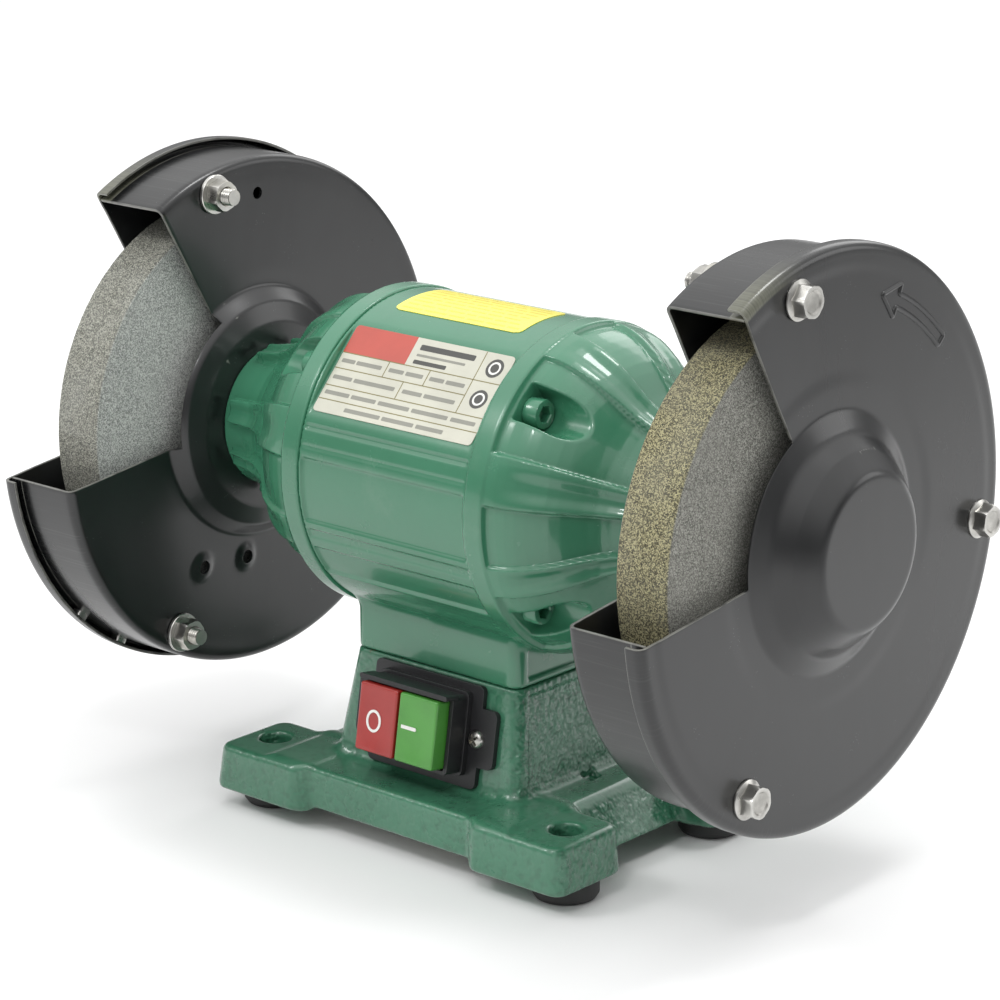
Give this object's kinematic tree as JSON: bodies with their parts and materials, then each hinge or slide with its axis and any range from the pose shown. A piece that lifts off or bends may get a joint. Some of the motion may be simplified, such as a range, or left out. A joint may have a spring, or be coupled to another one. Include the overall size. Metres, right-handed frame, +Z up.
{
  "type": "bench grinder",
  "caption": "Double-ended bench grinder: motor on a cast base, an abrasive wheel in an open-fronted sheet guard at each end, push-button switch on the front.",
  "frame": {"origin": "on the bench, midway between the four foot bolt holes, straight below the middle of the shaft", "axes": "+X along the shaft to the right-hand wheel, +Y to the back, away from the switch, +Z up"},
  "size_m": [0.316, 0.1913, 0.223],
  "materials": {
    "green_enamel": "glossy",
    "black_enamel": "glossy",
    "zinc": "satin",
    "green_screws": "glossy",
    "steel": "machined",
    "laminations": "laminated",
    "rotor_metal": "turned",
    "copper": "enamelled",
    "rubber": "matt",
    "black_nylon": "matt",
    "can": "satin",
    "ivory": "matt",
    "grit": "coarse grit",
    "card": "matt",
    "switch_black": "satin",
    "red_button": "glossy",
    "green_button": "glossy",
    "plate": "satin",
    "yellow_label": "glossy"
  },
  "bodies": {
    "stand": {"base_casting": "green_enamel", "bottom_plate": "zinc", "bottom_plate_screws": "zinc", "rubber_feet": "rubber", "cable_gland": "black_nylon", "gland_nut": "black_nylon", "capacitor": "can", "capacitor_clamp": "zinc", "terminal_block": "ivory", "housing_bolts": "zinc", "motor_housing": "green_enamel", "left_end_bell": "green_enamel", "right_end_bell": "green_enamel", "left_bell_screws": "green_screws", "right_bell_screws": "green_screws", "stator_core": "laminations", "stator_winding": "copper", "left_bearing_outer": "steel", "left_bearing_balls": "steel", "right_bearing_outer": "steel", "right_bearing_balls": "steel", "wave_washer": "steel", "left_guard": "black_enamel", "right_guard": "black_enamel", "left_guard_cover": "black_enamel", "right_guard_cover": "black_enamel", "left_guard_bolts": "zinc", "right_guard_bolts": "zinc", "left_guard_nuts": "zinc", "right_guard_nuts": "zinc", "left_guard_washers": "zinc", "right_guard_washers": "zinc", "left_guard_screws": "zinc", "right_guard_screws": "zinc", "switch_plate": "switch_black", "switch_body": "switch_black", "switch_screws": "zinc", "stop_spring": "steel", "start_spring": "steel", "nameplate": "plate", "blank_label": "yellow_label"},
    "rotor": {"shaft": "steel", "rotor_core": "rotor_metal", "left_bearing_inner": "steel", "left_wheel": "grit", "left_wheel_bush": "black_nylon", "left_blotters": "card", "left_inner_flange": "steel", "left_outer_flange": "steel", "left_shaft_nut": "steel", "right_bearing_inner": "steel", "right_wheel": "grit", "right_wheel_bush": "black_nylon", "right_blotters": "card", "right_inner_flange": "steel", "right_outer_flange": "steel", "right_shaft_nut": "steel"},
    "stop_button": {"stop_button": "red_button"},
    "start_button": {"start_button": "green_button"}
  },
  "joints": [
    {"name": "shaft_spin", "type": "hinge", "parent": "stand", "child": "rotor", "pos_m": [0, 0, 0.127], "axis": [1, 0, 0], "continuous": true},
    {"name": "stop_button_slide", "type": "slide", "parent": "stand", "child": "stop_button", "axis": [0, 0.9877, -0.1564], "range_m": [0, 0.003], "stiffness_N_per_m": 400, "springref_m": -0.002, "deforming": ["stop_spring"]},
    {"name": "start_button_slide", "type": "slide", "parent": "stand", "child": "start_button", "axis": [0, 0.9877, -0.1564], "range_m": [0, 0.003], "stiffness_N_per_m": 400, "springref_m": -0.002, "deforming": ["start_spring"]}
  ]
}
